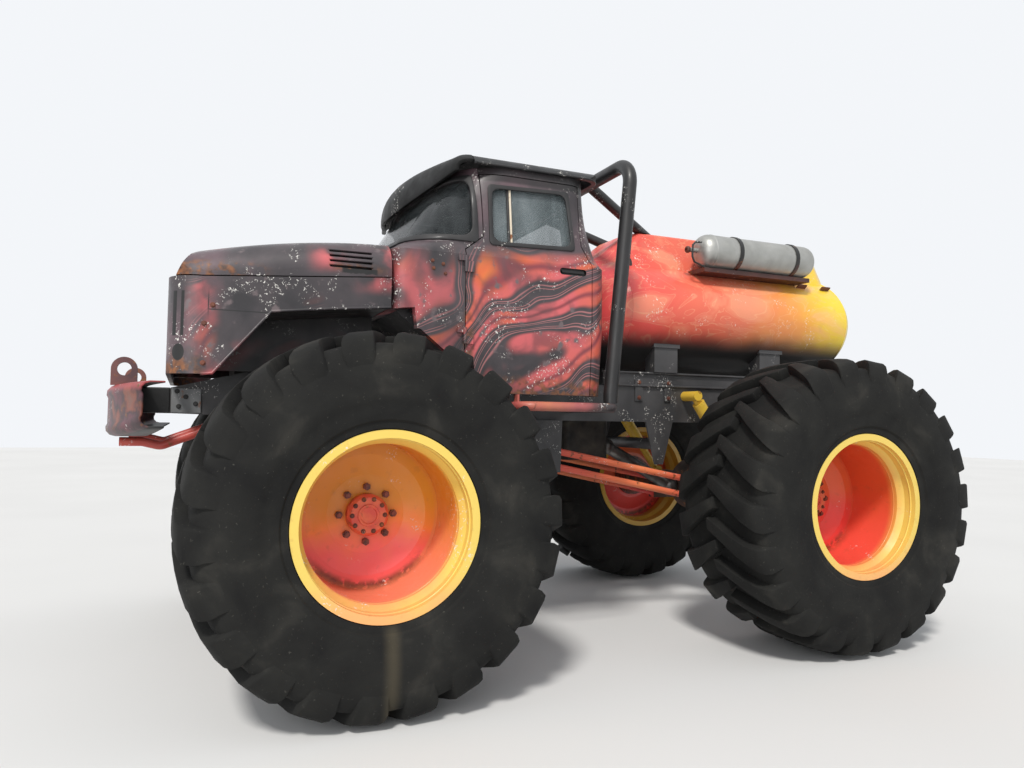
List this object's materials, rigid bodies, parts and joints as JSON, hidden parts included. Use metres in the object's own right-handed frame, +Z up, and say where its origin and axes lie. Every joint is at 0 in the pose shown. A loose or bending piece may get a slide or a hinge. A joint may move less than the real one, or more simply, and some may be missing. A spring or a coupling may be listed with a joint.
{
  "type": "monster truck",
  "caption": "Big-wheeled show truck with a cab, hinged hood and doors, roll hoop, oval tank on a ladder frame, steered front wheels and rolling farm tyres.",
  "frame": {"origin": "on the ground under the middle of the bounding box, in the centre plane", "axes": "the truck faces -Y, its left side is +X, +Z is up"},
  "size_m": [3.22, 5.31, 3.0229],
  "materials": {
    "frame_paint": "worn satin",
    "bumper_paint": "worn satin",
    "red_paint": "worn gloss",
    "yellow_paint": "gloss",
    "axle_paint": "worn satin",
    "engine_iron": "dull",
    "steel": "dull",
    "cab_paint": "worn, with red and orange bands",
    "roof_paint": "worn gloss",
    "fender_paint": "worn satin",
    "hood_paint": "worn satin",
    "window": "hazy",
    "seat_vinyl": "matte",
    "cab_plastic": "matte",
    "tank_paint": "faded red to yellow",
    "cylinder_metal": "brushed",
    "cradle_paint": "worn",
    "hoop_paint": "gloss, chipped",
    "tyre_rubber": "matte",
    "rim_paint": "yellow to orange, worn",
    "hub_paint": "worn"
  },
  "bodies": {
    "chassis": {"frame_rails": "frame_paint", "crossmembers": "frame_paint", "subframe_beams": "frame_paint", "v_hangers": "frame_paint", "rod_hangers": "frame_paint", "tank_saddles": "frame_paint", "front_bumper": "bumper_paint", "tow_eyes": "bumper_paint", "bumper_braces": "red_paint", "radius_rods": "red_paint", "step_bars": "red_paint", "shock_absorbers": "yellow_paint", "front_axle": "axle_paint", "rear_axle": "axle_paint", "engine_block": "engine_iron", "gearbox": "engine_iron", "propshafts": "steel", "cab_floor": "cab_paint", "cab_rear_wall": "cab_paint", "cowl": "cab_paint", "cab_roof": "roof_paint", "visor": "roof_paint", "windscreen": "window", "rear_window": "window", "fender_left": "fender_paint", "fender_right": "fender_paint", "grille_panel": "fender_paint", "seat": "seat_vinyl", "dashboard": "cab_plastic", "steering_wheel": "cab_plastic", "tank": "tank_paint", "tank_spine": "tank_paint", "gas_cylinder": "cylinder_metal", "cylinder_cradle": "cradle_paint", "roll_hoop": "hoop_paint"},
    "hood": {"hood": "hood_paint"},
    "door_left": {"door_left": "cab_paint", "door_glass_left": "window"},
    "door_right": {"door_right": "cab_paint", "door_glass_right": "window"},
    "knuckle_left": {"knuckle_left": "steel"},
    "knuckle_right": {"knuckle_right": "steel"},
    "tie_rod": {"tie_rod": "steel"},
    "wheel_front_left": {"tyre_front_left": "tyre_rubber", "rim_front_left": "rim_paint", "hub_front_left": "hub_paint"},
    "wheel_front_right": {"tyre_front_right": "tyre_rubber", "rim_front_right": "rim_paint", "hub_front_right": "hub_paint"},
    "wheel_rear_left": {"tyre_rear_left": "tyre_rubber", "rim_rear_left": "rim_paint", "hub_rear_left": "hub_paint"},
    "wheel_rear_right": {"tyre_rear_right": "tyre_rubber", "rim_rear_right": "rim_paint", "hub_rear_right": "hub_paint"}
  },
  "joints": [
    {"name": "steer_left", "type": "hinge", "parent": "chassis", "child": "knuckle_left", "pos_m": [0.85, -1.395, 0.9], "axis": [0, 0, 1], "range_deg": [-16, 16]},
    {"name": "steer_right", "type": "hinge", "parent": "chassis", "child": "knuckle_right", "pos_m": [-0.85, -1.395, 0.9], "axis": [0, 0, 1], "range_deg": [-16, 16]},
    {"name": "tie_rod_pivot", "type": "hinge", "parent": "knuckle_left", "child": "tie_rod", "pos_m": [0.85, -1.675, 0.9], "axis": [0, 0, 1], "range_deg": [-16, 16]},
    {"name": "door_left_hinge", "type": "hinge", "parent": "chassis", "child": "door_left", "pos_m": [0.981, -0.845, 2], "axis": [0, 0, 1], "range_deg": [-65, 0]},
    {"name": "door_right_hinge", "type": "hinge", "parent": "chassis", "child": "door_right", "pos_m": [-0.981, -0.845, 2], "axis": [0, 0, 1], "range_deg": [0, 65]},
    {"name": "hood_hinge", "type": "hinge", "parent": "chassis", "child": "hood", "pos_m": [0, -1.249, 2.38], "axis": [-1, 0, 0], "range_deg": [0, 55]},
    {"name": "spin_front_left", "type": "hinge", "parent": "knuckle_left", "child": "wheel_front_left", "pos_m": [1.22, -1.395, 0.9], "axis": [1, 0, 0], "continuous": true},
    {"name": "spin_front_right", "type": "hinge", "parent": "knuckle_right", "child": "wheel_front_right", "pos_m": [-1.22, -1.395, 0.9], "axis": [1, 0, 0], "continuous": true},
    {"name": "spin_rear_left", "type": "hinge", "parent": "chassis", "child": "wheel_rear_left", "pos_m": [1.22, 1.505, 0.9], "axis": [1, 0, 0], "continuous": true},
    {"name": "spin_rear_right", "type": "hinge", "parent": "chassis", "child": "wheel_rear_right", "pos_m": [-1.22, 1.505, 0.9], "axis": [1, 0, 0], "continuous": true}
  ],
  "couplings": [
    {"joint": "steer_right", "follows": "steer_left", "ratio": 1},
    {"joint": "tie_rod_pivot", "follows": "steer_left", "ratio": -1}
  ]
}
